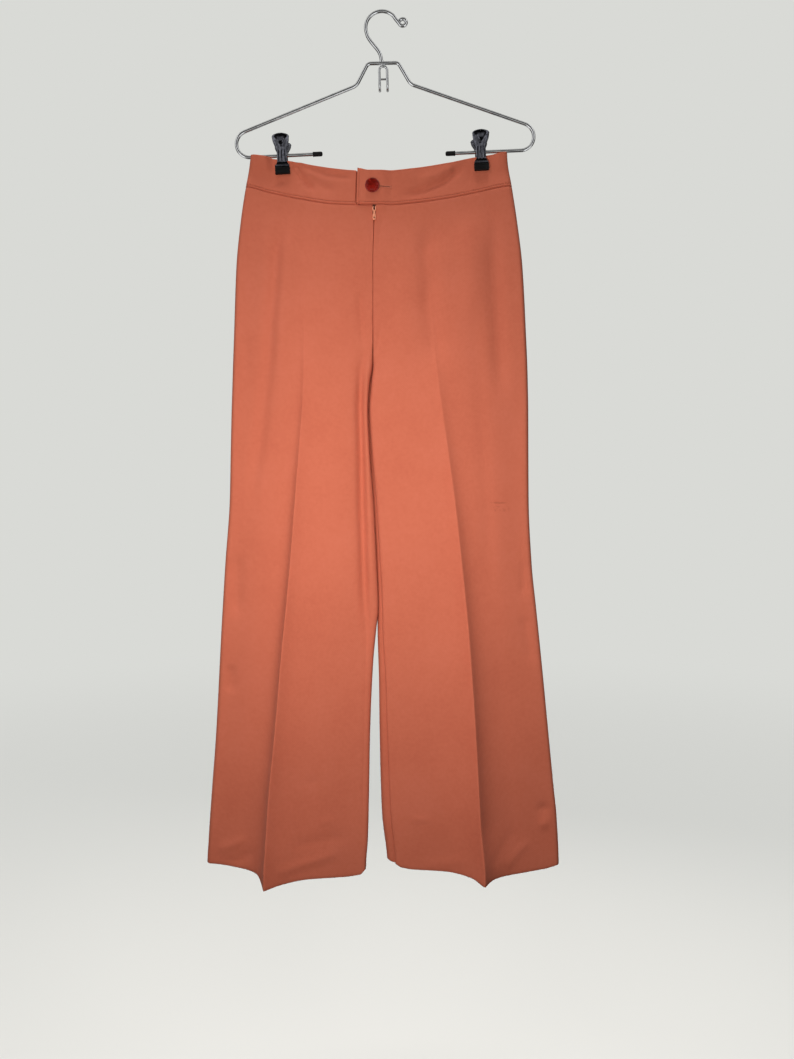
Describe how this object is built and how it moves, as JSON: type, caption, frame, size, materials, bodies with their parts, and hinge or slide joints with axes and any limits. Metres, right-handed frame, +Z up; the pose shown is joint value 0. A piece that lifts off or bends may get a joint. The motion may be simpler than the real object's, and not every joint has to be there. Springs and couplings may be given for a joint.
{
  "type": "wide-leg trousers on a clip hanger",
  "caption": "High-waisted wide-leg trousers with pressed creases and a fly front, hanging flat by the waistband from the clips of a bent-wire hanger.",
  "frame": {"origin": "the point on the inside of the hook's top that bears on the rail or peg that holds the hanger", "axes": "+Z up, -Y towards the front of the garment, +X towards the wearer's left"},
  "size_m": [0.4989, 0.0806, 1.2284],
  "materials": {
    "coral_cloth": "matte twill",
    "zip_tape_cloth": "matte woven tape",
    "painted_metal": "satin",
    "red_button": "glossy",
    "chrome_wire": "polished",
    "dark_chrome": "polished dark",
    "black_rubber": "matte"
  },
  "bodies": {
    "trousers": {"front_right": "coral_cloth", "back_right": "coral_cloth", "front_left": "coral_cloth", "back_left": "coral_cloth", "waistband_front_right": "coral_cloth", "waistband_front_left": "coral_cloth", "waistband_back": "coral_cloth", "zip_tape": "zip_tape_cloth", "zip_slider": "painted_metal", "button": "red_button", "hanger_frame": "chrome_wire", "hanger_hook": "chrome_wire", "hanger_cascade_hook": "chrome_wire", "hanger_cascade_rung": "chrome_wire", "hanger_tip_right": "black_rubber", "hanger_tip_left": "black_rubber", "clip_right_front_leaf": "dark_chrome", "clip_right_front_pad": "black_rubber", "clip_right_back_leaf": "dark_chrome", "clip_right_back_pad": "black_rubber", "clip_right_spring": "dark_chrome", "clip_left_front_leaf": "dark_chrome", "clip_left_front_pad": "black_rubber", "clip_left_back_leaf": "dark_chrome", "clip_left_back_pad": "black_rubber", "clip_left_spring": "dark_chrome"},
    "zip_pull": {"zip_pull": "painted_metal"}
  },
  "joints": [
    {"name": "zip_pull_swing", "type": "hinge", "parent": "trousers", "child": "zip_pull", "pos_m": [-0.01, -0.01961, -0.2834], "axis": [-1, 0, 0], "range_deg": [0, 120]}
  ]
}
